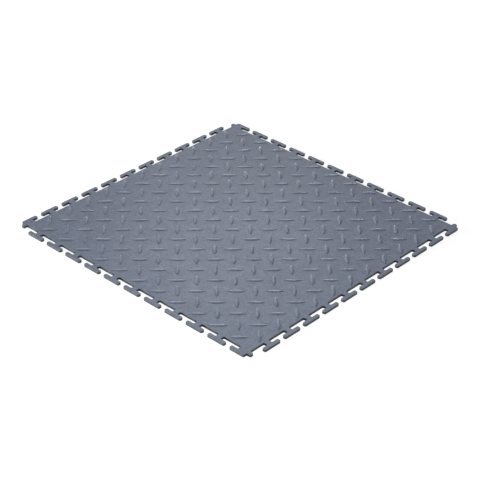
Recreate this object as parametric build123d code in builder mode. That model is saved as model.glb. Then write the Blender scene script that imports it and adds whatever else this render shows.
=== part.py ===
"""Interlocking PVC floor tile with a raised diamond pattern.

One moulding: a flat square body, hammer-headed tabs along all four sides, a block with half a head
and a small nub at each corner, and lens-shaped treads that stand out of the top face. Millimetres.
The origin is on the underside, below the middle of the body, with +Z up.

Neighbouring tiles are laid one cover size apart. The heads of one tile then fill the slots between
the stems of the other, and the nubs of four tiles fill the square where their corners meet. The
outline is the same after each quarter turn about Z.
"""

from build123d import *
import math
import os

# The laid size, the thickness and the fit
cover = 500.0  # from one tile to the next as they are laid
base_thickness = 4.3  # body and tabs, without the treads
lock_gap = 0.3  # air between the faces of two locked tiles, half of it taken from each

# The tabs: the nominal sizes that two locked tiles share
stem_width = 10.0
head_length = 34.0
head_depth = 7.0  # also the depth of the stems, which the heads of the neighbour fill
head_radius = 2.5  # outer corners of a head
heel_radius = 2.0  # inner corners of a head
block_radius = 2.0  # free outer corners of a block and its nub
least_block = 14.0  # the narrowest that a corner block may get

# The treads
tread_rows = 12  # pattern repeats over one cover size, so the pattern runs on from tile to tile
tread_length = 29.0
tread_width = 7.2
tread_height = 0.7
tread_runs = 4  # straight runs along each long side of a tread
tread_margin = 3.0  # least flat strip between a tread and the edge of the body

# Worked out from the sizes above
lock_depth = 2 * head_depth
body = cover - lock_depth
inset = lock_gap / 2
tab_pitch = stem_width + head_length
tab_count = int((body - head_length - 2 * least_block) / tab_pitch + 0.5)
first_stem = (body - (tab_count - 0.5) * tab_pitch) / 2  # opposite sides are half a pitch apart
stem_half = stem_width / 2 - inset
head_half = head_length / 2 - inset
head_in = head_depth + inset
head_out = lock_depth - inset
nub = head_depth - inset


def tab_corners(middle):
    """Corners of one tab as (along, out, radius), from left to right."""
    return [
        (middle - stem_half, -inset, 0),
        (middle - stem_half, head_in, 0),
        (middle - head_half, head_in, heel_radius),
        (middle - head_half, head_out, head_radius),
        (middle + head_half, head_out, head_radius),
        (middle + head_half, head_in, heel_radius),
        (middle + stem_half, head_in, 0),
        (middle + stem_half, -inset, 0),
    ]


def block_corners():
    """Corners of the block at the right end of a side, with its half head and its nub."""
    block = body - first_stem + head_length / 2 + inset
    arm = body - first_stem + stem_width / 2 + inset
    return [
        (block, -inset, 0),
        (block, head_in, 0),
        (arm, head_in, heel_radius),
        (arm, head_out, head_radius),
        (body - inset, head_out, block_radius),
        (body - inset, nub, 0),
        (body + nub, nub, block_radius),
        (body + nub, inset, 0),
        (body - inset, inset, 0),
    ]


def side_path():
    """Corners of one side, from the body's left corner to its right one, which starts the next side."""
    corners = []
    for count in range(tab_count):
        corners += tab_corners(first_stem + count * tab_pitch)
    return corners + block_corners()


def tread_places():
    """Locations of the treads: two crossed directions in turn, wherever one fits on the body."""
    step = cover / tread_rows / 2
    tip = tread_length / 2 * math.cos(math.radians(45))
    reach = body / 2 - tip - tread_margin
    most = int(reach / step)
    places = []
    for column in range(-most, most + 1):
        for row in range(-most, most + 1):
            if (column + row) % 2:
                turn = 45 if row % 2 else -45
                places.append(Location((column * step, row * step, base_thickness), (0, 0, turn)))
    return places


# One tread: a lens plan of straight runs, with a flank that leans in from each run up to the ridge
with BuildPart() as tread:
    bow = (tread_length**2 + tread_width**2) / 4 / tread_width  # radius of the long sides
    bow_angle = math.asin(tread_length / 2 / bow)
    plan = []
    for side in (1, -1):
        for run in range(tread_runs):
            angle = bow_angle * (1 - 2 * run / tread_runs)
            across = bow * math.cos(angle) - bow + tread_width / 2
            plan.append(Vector(side * bow * math.sin(angle), side * across))
    with BuildSketch():
        with BuildLine():
            Polyline(*plan, close=True)
        make_face()
    extrude(amount=tread_height)
    lean = math.atan2(tread_height, tread_width / 2 * math.cos(bow_angle / tread_runs))
    for start, stop in zip(plan, plan[1:] + plan[:1]):
        along = (stop - start).normalized()
        outward = along.rotate(Axis.Z, -90)
        flank = outward * math.sin(lean) + Vector(0, 0, math.cos(lean))
        split(bisect_by=Plane(start, along, flank), keep=Keep.BOTTOM)

with BuildPart() as floor_tile:
    with BuildSketch():
        with BuildLine():
            start = (first_stem / 2, -inset, 0)
            end = (body - inset, -first_stem / 2, 0)
            path = [start, *side_path(), end]
            points = [(along - body / 2, -body / 2 - out) for along, out, radius in path]
            radii = [radius for along, out, radius in path[1:-1]]
            side = FilletPolyline(*points, radius=radii)
            for turn in (90, 180, 270):
                add(side.rotate(Axis.Z, turn))
        make_face()
    extrude(amount=base_thickness)
    with Locations(*tread_places()):
        add(tread.part)

floor_tile.part.label = "floor_tile"
os.makedirs("parts", exist_ok=True)
export_step(floor_tile.part, "parts/floor_tile.step")
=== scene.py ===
"""Looks of the interlocking floor tile: one moulded PVC piece with rounded edges and smooth treads,
lying on a pale floor under soft light. Everything is in metres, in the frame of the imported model."""

import math

import bpy
import bmesh
from mathutils import Matrix, Vector
from mathutils.geometry import delaunay_2d_cdt


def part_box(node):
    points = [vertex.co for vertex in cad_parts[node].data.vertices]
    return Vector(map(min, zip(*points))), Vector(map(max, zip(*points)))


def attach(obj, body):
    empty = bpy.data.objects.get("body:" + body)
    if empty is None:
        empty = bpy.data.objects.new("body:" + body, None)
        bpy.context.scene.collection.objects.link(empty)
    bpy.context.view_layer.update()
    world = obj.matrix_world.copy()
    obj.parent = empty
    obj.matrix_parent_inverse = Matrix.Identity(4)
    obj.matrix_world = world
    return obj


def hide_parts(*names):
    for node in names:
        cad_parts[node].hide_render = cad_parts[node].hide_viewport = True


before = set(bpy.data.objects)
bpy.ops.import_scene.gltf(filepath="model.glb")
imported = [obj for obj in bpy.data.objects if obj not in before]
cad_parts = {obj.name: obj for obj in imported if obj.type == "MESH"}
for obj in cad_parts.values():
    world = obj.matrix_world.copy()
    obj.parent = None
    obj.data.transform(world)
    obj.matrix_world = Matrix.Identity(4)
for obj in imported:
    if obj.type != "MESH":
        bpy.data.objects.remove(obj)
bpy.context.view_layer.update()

MM = 0.001
QUARTER_TURN = math.pi / 2

# The tile's sizes, as in the solid
LOW, HIGH = [Vector(corner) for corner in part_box("floor_tile")]
COVER = 500 * MM
HEAD_DEPTH = 7 * MM
STEM_WIDTH = 10 * MM
HEAD_LENGTH = 34 * MM
BASE = 4.3 * MM
TAB_COUNT = 10
TREAD_LENGTH = 29 * MM
TREAD_WIDTH = 7.2 * MM
TREAD_ROWS = 12
TREAD_MARGIN = 3 * MM
TREAD_TURN = math.pi / 4

# Corner radii of the outline, seen from above
HEAD_RADIUS = 2.5 * MM
HEEL_RADIUS = 2 * MM
NECK_RADIUS = 1.3 * MM
ROOT_RADIUS = 2.1 * MM
BLOCK_RADIUS = 2 * MM

# Rounding of the edges, seen in section
TOP_ROUND = 0.2 * MM
BOTTOM_ROUND = 0.2 * MM

# The treads' flanks
FOOT_WIDTH = 0.3 * MM  # small hollow round a tread's foot
FOOT_RISE = 0.04 * MM
FLANK_EASE = 2.8  # 1 is a straight flank; a higher number is steeper at the foot and flatter on top
CRISPNESS = 1.2  # how much more than the surface its shading leans, so that the relief reads from afar

# Fineness of the mesh, as straight runs in each curve
CORNER_RUNS = 6
BOTTOM_RUNS = 2
TOP_RUNS = 4
LENS_RUNS = 14  # along each side of a tread
FLANK_SHARES = (0.1, 0.22, 0.38, 0.56, 0.76, 0.93)  # where a flank has points, from its foot to the ridge

# Worked out from the sizes above
BODY = COVER - 2 * HEAD_DEPTH
INSET = (COVER + 2 * HEAD_DEPTH - (HIGH.x - LOW.x)) / 2  # half the air between two locked tiles
PITCH = STEM_WIDTH + HEAD_LENGTH
FIRST_STEM = (BODY - (TAB_COUNT - 0.5) * PITCH) / 2
TREAD_HEIGHT = HIGH.z - BASE

# The moulding's colours and finish, with painted shade on its sides
MOTTLE_DARK = (0.160, 0.196, 0.280, 1)
MOTTLE_PALE = (0.177, 0.217, 0.308, 1)
# Painted shade: the sides are coloured darker and greyer than the top
SHADED_SIDE_COLOUR = (0.150, 0.162, 0.190, 1)
NOISE_LOW = 0.3  # most of a noise lies between these two
NOISE_HIGH = 0.7
SIDE_RISE = 0.25  # upward part of the normal: up to here the sides' looks, and from TOP_RISE the top's
TOP_RISE = 0.75

# The studio
CAMERA_AZIMUTH = 41.966  # degrees, from -Y round towards +X
FLOOR_HALF = 6.0  # half the plane's side
FLOOR_DROP = 0.2 * MM  # keeps the floor clear of the tile's underside
NEAR_WHITENESS = 0.7  # of the floor by the tile: leaves room for the lamps' light, and so for a shadow
NEAR = 0.5  # where the floor starts to get whiter, and where it is fully white
FAR = 1.5
WHITE_TOP = 0.12  # the world is white up to this sine of the angle above the horizon
DARK_FROM = 0.2  # and dark from this one up


def side_corners():
    """Corners of the front side as (along, out, radius), from the body's left corner to its right one."""
    stem = STEM_WIDTH / 2 - INSET
    head = HEAD_LENGTH / 2 - INSET
    head_in = HEAD_DEPTH + INSET
    head_out = 2 * HEAD_DEPTH - INSET
    nub = HEAD_DEPTH - INSET
    left_half = [
        (-stem, -INSET, ROOT_RADIUS),
        (-stem, head_in, NECK_RADIUS),
        (-head, head_in, HEEL_RADIUS),
        (-head, head_out, HEAD_RADIUS),
    ]
    tab = left_half + [(-along, out, radius) for along, out, radius in reversed(left_half)]
    corners = []
    for count in range(TAB_COUNT):
        middle = FIRST_STEM + count * PITCH
        corners += [(middle + along, out, radius) for along, out, radius in tab]
    block = BODY - FIRST_STEM + HEAD_LENGTH / 2 + INSET
    arm = BODY - FIRST_STEM + STEM_WIDTH / 2 + INSET
    edge = BODY - INSET
    return corners + [
        (block, -INSET, ROOT_RADIUS),
        (block, head_in, NECK_RADIUS),
        (arm, head_in, HEEL_RADIUS),
        (arm, head_out, HEAD_RADIUS),
        (edge, head_out, BLOCK_RADIUS),
        (edge, nub, NECK_RADIUS),
        (BODY + nub, nub, BLOCK_RADIUS),
        (BODY + nub, INSET, BLOCK_RADIUS),
        (edge, INSET, NECK_RADIUS),
    ]


def outline():
    """The whole outline, counter-clockwise from above, as points with their normals out of the tile."""
    corners = []
    for quarter in range(4):
        turn = Matrix.Rotation(quarter * QUARTER_TURN, 2)
        for along, out, radius in side_corners():
            corners.append((turn @ Vector((along - BODY / 2, -out - BODY / 2)), radius))
    points = []
    for index, (corner, radius) in enumerate(corners):
        before = (corner - corners[index - 1][0]).normalized()
        after = (corners[(index + 1) % len(corners)][0] - corner).normalized()
        bend = 1 if before.cross(after) > 0 else -1
        centre = corner + radius * (after - before)
        for run in range(CORNER_RUNS + 1):
            turn = Matrix.Rotation(bend * QUARTER_TURN * run / CORNER_RUNS, 2)
            normal = turn @ Vector((before.y, -before.x))
            points.append((centre + bend * radius * normal, normal))
    return points


def rim_section():
    """Section of the rim as (distance in, height, lean of the surface's normal), from below to the top."""
    section = []
    for run in range(BOTTOM_RUNS + 1):
        lean = QUARTER_TURN * (run / BOTTOM_RUNS - 1)
        section.append((BOTTOM_ROUND * (1 - math.cos(lean)), BOTTOM_ROUND * (1 + math.sin(lean)), lean))
    for run in range(TOP_RUNS + 1):
        lean = QUARTER_TURN * run / TOP_RUNS
        section.append((TOP_ROUND * (1 - math.cos(lean)), BASE - TOP_ROUND * (1 - math.sin(lean)), lean))
    return section


def lens(inward):
    """A tread's outline drawn in by a distance, counter-clockwise from one tip: points and directions out."""
    bow = (TREAD_LENGTH**2 + TREAD_WIDTH**2) / 4 / TREAD_WIDTH
    centre = bow - TREAD_WIDTH / 2
    radius = bow - inward
    half_angle = math.acos(centre / radius)
    points = []
    for side in (1, -1):
        for run in range(LENS_RUNS):
            angle = half_angle * (1 - 2 * run / LENS_RUNS)
            outward = side * Vector((math.sin(angle), math.cos(angle)))
            tip = Vector((side, 0))
            points.append((radius * outward - Vector((0, side * centre)), outward if run else tip))
    return points


def tread_section():
    """Section of a tread as (distance in, height): a small hollow, then a flank that eases off."""
    section = [(-FOOT_WIDTH, 0), (0, FOOT_RISE)]
    for share in FLANK_SHARES:
        rise = (TREAD_HEIGHT - FOOT_RISE) * (1 - (1 - share) ** FLANK_EASE)
        section.append((share * TREAD_WIDTH / 2, FOOT_RISE + rise))
    return section


def tread_slopes(section):
    """Slope of the flank at each point of a tread's section; flat at the foot and the ridge."""
    slopes = [0]
    for before, after in zip(section, section[2:]):
        slopes.append((after[1] - before[1]) / (after[0] - before[0]))
    return slopes + [0]


def tread_places():
    """Middle and turn of each tread: two crossed directions in turn, wherever one fits on the body."""
    step = COVER / TREAD_ROWS / 2
    reach = BODY / 2 - TREAD_LENGTH / 2 * math.cos(TREAD_TURN) - TREAD_MARGIN
    most = int(reach / step)
    places = []
    for column in range(-most, most + 1):
        for row in range(-most, most + 1):
            if (column + row) % 2:
                turn = TREAD_TURN if row % 2 else -TREAD_TURN
                places.append((Vector((column * step, row * step)), Matrix.Rotation(turn, 2)))
    return places


def bridge(mesh, rings):
    """Faces between closed rings, each ring above or inside the one before it."""
    for lower, upper in zip(rings, rings[1:]):
        for index in range(len(lower)):
            after = (index + 1) % len(lower)
            mesh.faces.new((lower[index], lower[after], upper[after], upper[index]))


def fill(mesh, outer, holes, upward):
    """Triangles of a flat face inside one ring and around the others."""
    loops = [outer, *holes]
    verts = [vert for loop in loops for vert in loop]
    owner = [number for number, loop in enumerate(loops) for vert in loop]
    edges = []
    first = 0
    for loop in loops:
        edges += [(first + index, first + (index + 1) % len(loop)) for index in range(len(loop))]
        first += len(loop)
    inside_edges = 1  # the kind of result: only the triangles within the outer ring
    same_point = 1e-7  # points closer than this become one
    found = delaunay_2d_cdt([vert.co.xy for vert in verts], edges, [], inside_edges, same_point)
    triangles, source = found[2], found[3]
    for triangle in triangles:
        corners = [source[index][0] for index in triangle]
        # A triangle with all its corners on one inner ring lies inside that ring, which stays open here
        in_hole = owner[corners[0]] and len({owner[corner] for corner in corners}) == 1
        if not in_hole:
            mesh.faces.new([verts[corner] for corner in (corners if upward else reversed(corners))])


def tile():
    """The whole moulding as one closed mesh."""
    mesh = bmesh.new()
    normals = []

    def ring(points, height, directions):
        """New vertices at one height, with their normals noted in the same order."""
        normals.extend(directions)
        return [mesh.verts.new((*point, height)) for point in points]

    rim = outline()
    rim_rings = []
    for inward, height, lean in rim_section():
        points = [point - inward * normal for point, normal in rim]
        directions = [(*(math.cos(lean) * normal), math.sin(lean)) for point, normal in rim]
        rim_rings.append(ring(points, height, directions))
    bridge(mesh, rim_rings)

    feet = []
    section = tread_section()
    slopes = tread_slopes(section)
    levels = [(lens(inward), height, slope) for (inward, height), slope in zip(section, slopes)]
    for middle, turn in tread_places():
        tread_rings = []
        for plan, height, slope in levels:
            points = [middle + turn @ point for point, outward in plan]
            leans = [Vector((*(CRISPNESS * slope * (turn @ outward)), 1)) for point, outward in plan]
            tread_rings.append(ring(points, BASE + height, [lean.normalized() for lean in leans]))
        bridge(mesh, tread_rings)
        mesh.faces.new(tread_rings[-1])
        feet.append(tread_rings[0])

    fill(mesh, rim_rings[-1], feet, True)
    fill(mesh, rim_rings[0], [], False)
    ridges = [face for face in mesh.faces if len(face.verts) > 4]
    bmesh.ops.triangulate(mesh, faces=ridges)
    data = bpy.data.meshes.new("floor_tile_moulding")
    mesh.to_mesh(data)
    mesh.free()
    data.shade_smooth()
    data.normals_split_custom_set_from_vertices(normals)
    piece = bpy.data.objects.new("floor_tile_moulding", data)
    bpy.context.scene.collection.objects.link(piece)
    return piece


def grey(level):
    """A plain grey; 1 is white."""
    return (level, level, level, 1)


class Nodes:
    """An emptied node tree with short ways to add to it."""

    def __init__(self, owner):
        owner.use_nodes = True
        self.tree = owner.node_tree
        self.tree.nodes.clear()

    def put(self, socket, value):
        """Gives an input a plain value, or a link from another node's output."""
        if isinstance(value, bpy.types.NodeSocket):
            self.tree.links.new(value, socket)
        else:
            socket.default_value = value

    def add(self, kind, settings=(), in_order=(), **inputs):
        """A new node with its settings, and with its inputs in their order or by name."""
        node = self.tree.nodes.new(kind)
        for name, value in dict(settings).items():
            setattr(node, name, value)
        for socket, value in zip(node.inputs, in_order):
            self.put(socket, value)
        for name, value in inputs.items():
            self.put(node.inputs[name.replace("_", " ")], value)
        return node

    def combine(self, operation, one, other):
        """Two numbers made one by a Math operation."""
        return self.add("ShaderNodeMath", {"operation": operation}, [one, other]).outputs["Value"]

    def level(self, value, low, high, first, last):
        """A number that goes from first to last as the value goes from low to high, and no further."""
        ends = dict(From_Min=low, From_Max=high, To_Min=first, To_Max=last)
        return self.add("ShaderNodeMapRange", Value=value, **ends).outputs["Result"]

    def blend(self, factor, first, last):
        """A colour between two others."""
        mix = self.add("ShaderNodeMix", {"data_type": "RGBA"}, Factor=factor)
        colours = [socket for socket in mix.inputs if socket.type == "RGBA"]
        self.put(colours[0], first)
        self.put(colours[1], last)
        return [socket for socket in mix.outputs if socket.type == "RGBA"][0]

    def noise(self, place, scale, detail, roughness):
        """A cloudy number about 0.5, with this many features to the metre."""
        settings = dict(Scale=scale, Detail=detail, Roughness=roughness)
        return self.add("ShaderNodeTexNoise", Vector=place, **settings).outputs["Fac"]

    def upright(self, vector):
        """The vertical part of a place or direction."""
        return self.add("ShaderNodeSeparateXYZ", Vector=vector).outputs["Z"]

    def seen(self):
        """1 for the rays that show the background, and 0 for those that only bring light."""
        ray = self.add("ShaderNodeLightPath").outputs
        shown = self.combine("MAXIMUM", ray["Is Camera Ray"], ray["Is Glossy Ray"])
        return self.combine("MAXIMUM", shown, ray["Is Transmission Ray"])


def pvc():
    """Satin moulded PVC: grey-blue, mottled, with a fine grain; painted shade at the treads' feet and a
    painted highlight on their ridges, painted shade in the slots, and matt sides in painted shade.
    """
    material = bpy.data.materials.new("pvc_moulding")
    nodes = Nodes(material)
    coordinates = nodes.add("ShaderNodeTexCoord").outputs
    place = coordinates["Object"]
    height = nodes.upright(place)
    upward = nodes.upright(coordinates["Normal"])
    cloud = nodes.noise(place, scale=9.0, detail=3.0, roughness=0.55)
    fleck = nodes.noise(place, scale=100.0, detail=2.0, roughness=0.6)
    speck = nodes.noise(place, scale=360.0, detail=2.0, roughness=0.7)
    grain = nodes.noise(place, scale=1700.0, detail=2.0, roughness=0.5)

    # Painted shade: darkest at the treads' feet and lower flanks, where shade falls, with a painted highlight
    # on the ridges, a little lighter than the flat top
    relief_shade = nodes.add("ShaderNodeValToRGB", Fac=nodes.level(height, BASE, HIGH.z, 0.0, 1.0))
    stops = relief_shade.color_ramp.elements
    stops[0].color = grey(0.95)
    stops[1].color = grey(1.0)
    for position, shade in ((0.06, 0.8), (0.35, 0.86), (0.65, 0.97)):
        stops.new(position).color = grey(shade)

    # Painted shade: dark in the slots, where walls stand close on both sides
    openness = nodes.add("ShaderNodeAmbientOcclusion", {"only_local": True, "samples": 8}, Distance=8 * MM)
    slot_shade = nodes.level(openness.outputs["AO"], 0.6, 0.95, 0.12, 1.0)

    shade = nodes.level(fleck, NOISE_LOW, NOISE_HIGH, 0.9, 1.1)
    for factor in (nodes.level(speck, NOISE_LOW, NOISE_HIGH, 0.76, 1.24), slot_shade, relief_shade.outputs["Color"]):
        shade = nodes.combine("MULTIPLY", shade, factor)
    mottle = nodes.blend(cloud, MOTTLE_DARK, MOTTLE_PALE)
    # Painted shade on the sides: the colour turns to the darker side colour as the surface turns from up to
    # sideways
    plain = nodes.blend(nodes.level(upward, SIDE_RISE, TOP_RISE, 0.0, 1.0), SHADED_SIDE_COLOUR, mottle)
    colour = nodes.add("ShaderNodeVectorMath", {"operation": "SCALE"}, [plain], Scale=shade)

    flat_roughness = nodes.level(cloud, NOISE_LOW, NOISE_HIGH, 0.34, 0.4)
    bump = nodes.add("ShaderNodeBump", Height=grain, Strength=0.1, Distance=0.05 * MM)
    skin = nodes.add(
        "ShaderNodeBsdfPrincipled",
        Base_Color=colour.outputs["Vector"],
        Roughness=nodes.level(height, BASE + 0.02 * MM, BASE + 0.1 * MM, flat_roughness, 0.35),
        IOR=1.5,
        Specular_IOR_Level=nodes.level(upward, SIDE_RISE, TOP_RISE, 0.12, 0.5),
        Normal=bump.outputs["Normal"],
    )
    nodes.add("ShaderNodeOutputMaterial", Surface=skin.outputs["BSDF"])
    return material


def floor_surface():
    """Pale floor that shows as white, with the tile's shadow kept in it, and whiter far out."""
    material = bpy.data.materials.new("studio_floor")
    nodes = Nodes(material)
    place = nodes.add("ShaderNodeTexCoord").outputs["Object"]
    far_out = nodes.add("ShaderNodeVectorMath", {"operation": "LENGTH"}, Vector=place).outputs["Value"]
    whiteness = nodes.level(far_out, NEAR, FAR, NEAR_WHITENESS, 1.0)
    matt = nodes.add("ShaderNodeBsdfDiffuse", Color=grey(0.6))
    strength = nodes.combine("MULTIPLY", nodes.seen(), whiteness)
    glow = nodes.add("ShaderNodeEmission", Color=grey(1.0), Strength=strength)
    both = nodes.add("ShaderNodeAddShader", (), [matt.outputs["BSDF"], glow.outputs["Emission"]])
    nodes.add("ShaderNodeOutputMaterial", Surface=both.outputs["Shader"])
    return material


def studio_floor():
    """A wide level plane under the tile."""
    corners = [(x * FLOOR_HALF, y * FLOOR_HALF, 0) for x, y in ((-1, -1), (1, -1), (1, 1), (-1, 1))]
    data = bpy.data.meshes.new("studio_floor")
    data.from_pydata(corners, [], [(0, 1, 2, 3)])
    data.materials.append(floor_surface())
    plane = bpy.data.objects.new("studio_floor", data)
    plane.location.z = -FLOOR_DROP
    bpy.context.scene.collection.objects.link(plane)


def surroundings():
    """World: white near the horizon, for the rays that show it, and dark overhead and as a light."""
    world = bpy.data.worlds.new("studio_world")
    bpy.context.scene.world = world
    nodes = Nodes(world)
    rise = nodes.upright(nodes.add("ShaderNodeTexCoord").outputs["Generated"])
    strength = nodes.combine("MULTIPLY", nodes.seen(), nodes.level(rise, WHITE_TOP, DARK_FROM, 1.0, 0.0))
    back = nodes.add("ShaderNodeBackground", Color=grey(1.0), Strength=strength)
    nodes.add("ShaderNodeOutputWorld", Surface=back.outputs["Background"])


def softbox(name, azimuth, elevation, distance, width, height, power, target=(0, 0, 0)):
    """A rectangular area lamp that faces a point; azimuth 0 is behind the tile, 90 is the picture's right."""
    turn = math.radians(azimuth - CAMERA_AZIMUTH)
    rise = math.radians(elevation)
    away = Vector((math.sin(turn) * math.cos(rise), math.cos(turn) * math.cos(rise), math.sin(rise)))
    lamp = bpy.data.lights.new(name, "AREA")
    lamp.shape = "RECTANGLE"
    lamp.size = width
    lamp.size_y = height
    lamp.energy = power
    lit = bpy.data.objects.new(name, lamp)
    lit.location = Vector(target) + distance * away
    lit.rotation_euler = away.to_track_quat("Z", "Y").to_euler()
    lit.visible_camera = False
    bpy.context.scene.collection.objects.link(lit)


def lamps():
    """Soft light from overhead, a broad sheen from behind, and low lamps that draw the treads."""
    sheen = (0.06, -0.11, 0)
    softbox("front_overhead", 180, 60, distance=1.5, width=0.8, height=0.6, power=11.2)
    softbox("back_high", 0, 34, distance=1.5, width=0.47, height=0.38, power=1.37, target=sheen)
    softbox("back_high_wide", 0, 34, distance=1.65, width=1.45, height=0.52, power=2.25, target=sheen)
    softbox("back_low", 0, 6, distance=6.0, width=4.0, height=0.9, power=62)
    softbox("left_low", -90, 7, distance=2.6, width=1.6, height=0.5, power=81)
    softbox("back_right_low", 45, 7, distance=3.4, width=2.4, height=0.5, power=9)


def camera():
    """The photograph's view: a long lens, from above one corner of the tile."""
    azimuth = math.radians(CAMERA_AZIMUTH)
    elevation = math.radians(32.108)
    roll = math.radians(1.559)
    target = Vector((0.030304, -0.034584, 0.0043))
    distance = 2.37161
    back = Vector((
        math.sin(azimuth) * math.cos(elevation),
        -math.cos(azimuth) * math.cos(elevation),
        math.sin(elevation),
    ))
    level = Vector((0, 0, 1)).cross(back).normalized()
    upright = back.cross(level)
    right = math.cos(roll) * level + math.sin(roll) * upright
    top = math.cos(roll) * upright - math.sin(roll) * level
    optics = bpy.data.cameras.new("photo_camera")
    optics.sensor_width = 36
    optics.lens = 111.68
    optics.clip_start = 0.05
    optics.clip_end = 50
    view = bpy.data.objects.new("photo_camera", optics)
    turn = Matrix((right, top, back)).transposed()
    view.matrix_world = Matrix.Translation(target + distance * back) @ turn.to_4x4()
    bpy.context.scene.collection.objects.link(view)
    bpy.context.scene.camera = view


moulding = tile()
moulding.data.materials.append(pvc())
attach(moulding, "root")
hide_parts("floor_tile")

studio_floor()
surroundings()
lamps()
camera()
bpy.context.scene.view_settings.view_transform = "Standard"
